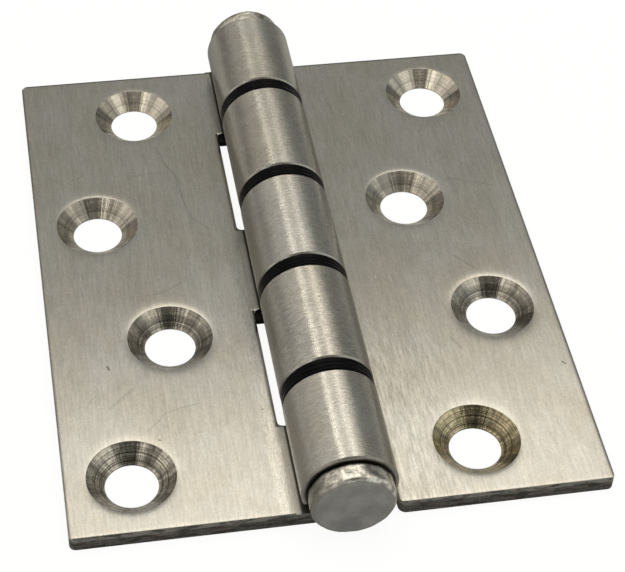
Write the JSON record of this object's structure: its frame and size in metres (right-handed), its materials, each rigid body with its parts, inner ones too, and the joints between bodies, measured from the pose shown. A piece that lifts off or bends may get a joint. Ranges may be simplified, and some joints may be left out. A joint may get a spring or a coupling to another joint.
{
  "type": "butt hinge",
  "caption": "Stainless butt hinge with rolled knuckles, a headed pin, black washers between the knuckles and zigzag countersunk screw holes, shown open flat.",
  "frame": {"origin": "on the plane of the leaves' backs, under the middle of the pin", "axes": "+X from the left leaf (three knuckles) to the right leaf, +Y along the pin towards the far end, +Z out of the countersunk side"},
  "size_m": [0.081, 0.1068, 0.0144],
  "materials": {
    "leaf_steel": "brushed along the pin",
    "pin_steel": "dull, peened",
    "washer_nylon": "satin"
  },
  "bodies": {
    "left": {"left_leaf": "leaf_steel", "pin": "pin_steel", "washer_1": "washer_nylon", "washer_3": "washer_nylon"},
    "right": {"right_leaf": "leaf_steel", "washer_2": "washer_nylon", "washer_4": "washer_nylon"}
  },
  "joints": [
    {"name": "leaf_fold", "type": "hinge", "parent": "left", "child": "right", "pos_m": [0, 0, 0.0072], "axis": [0, -1, 0], "range_deg": [-93, 190]}
  ]
}
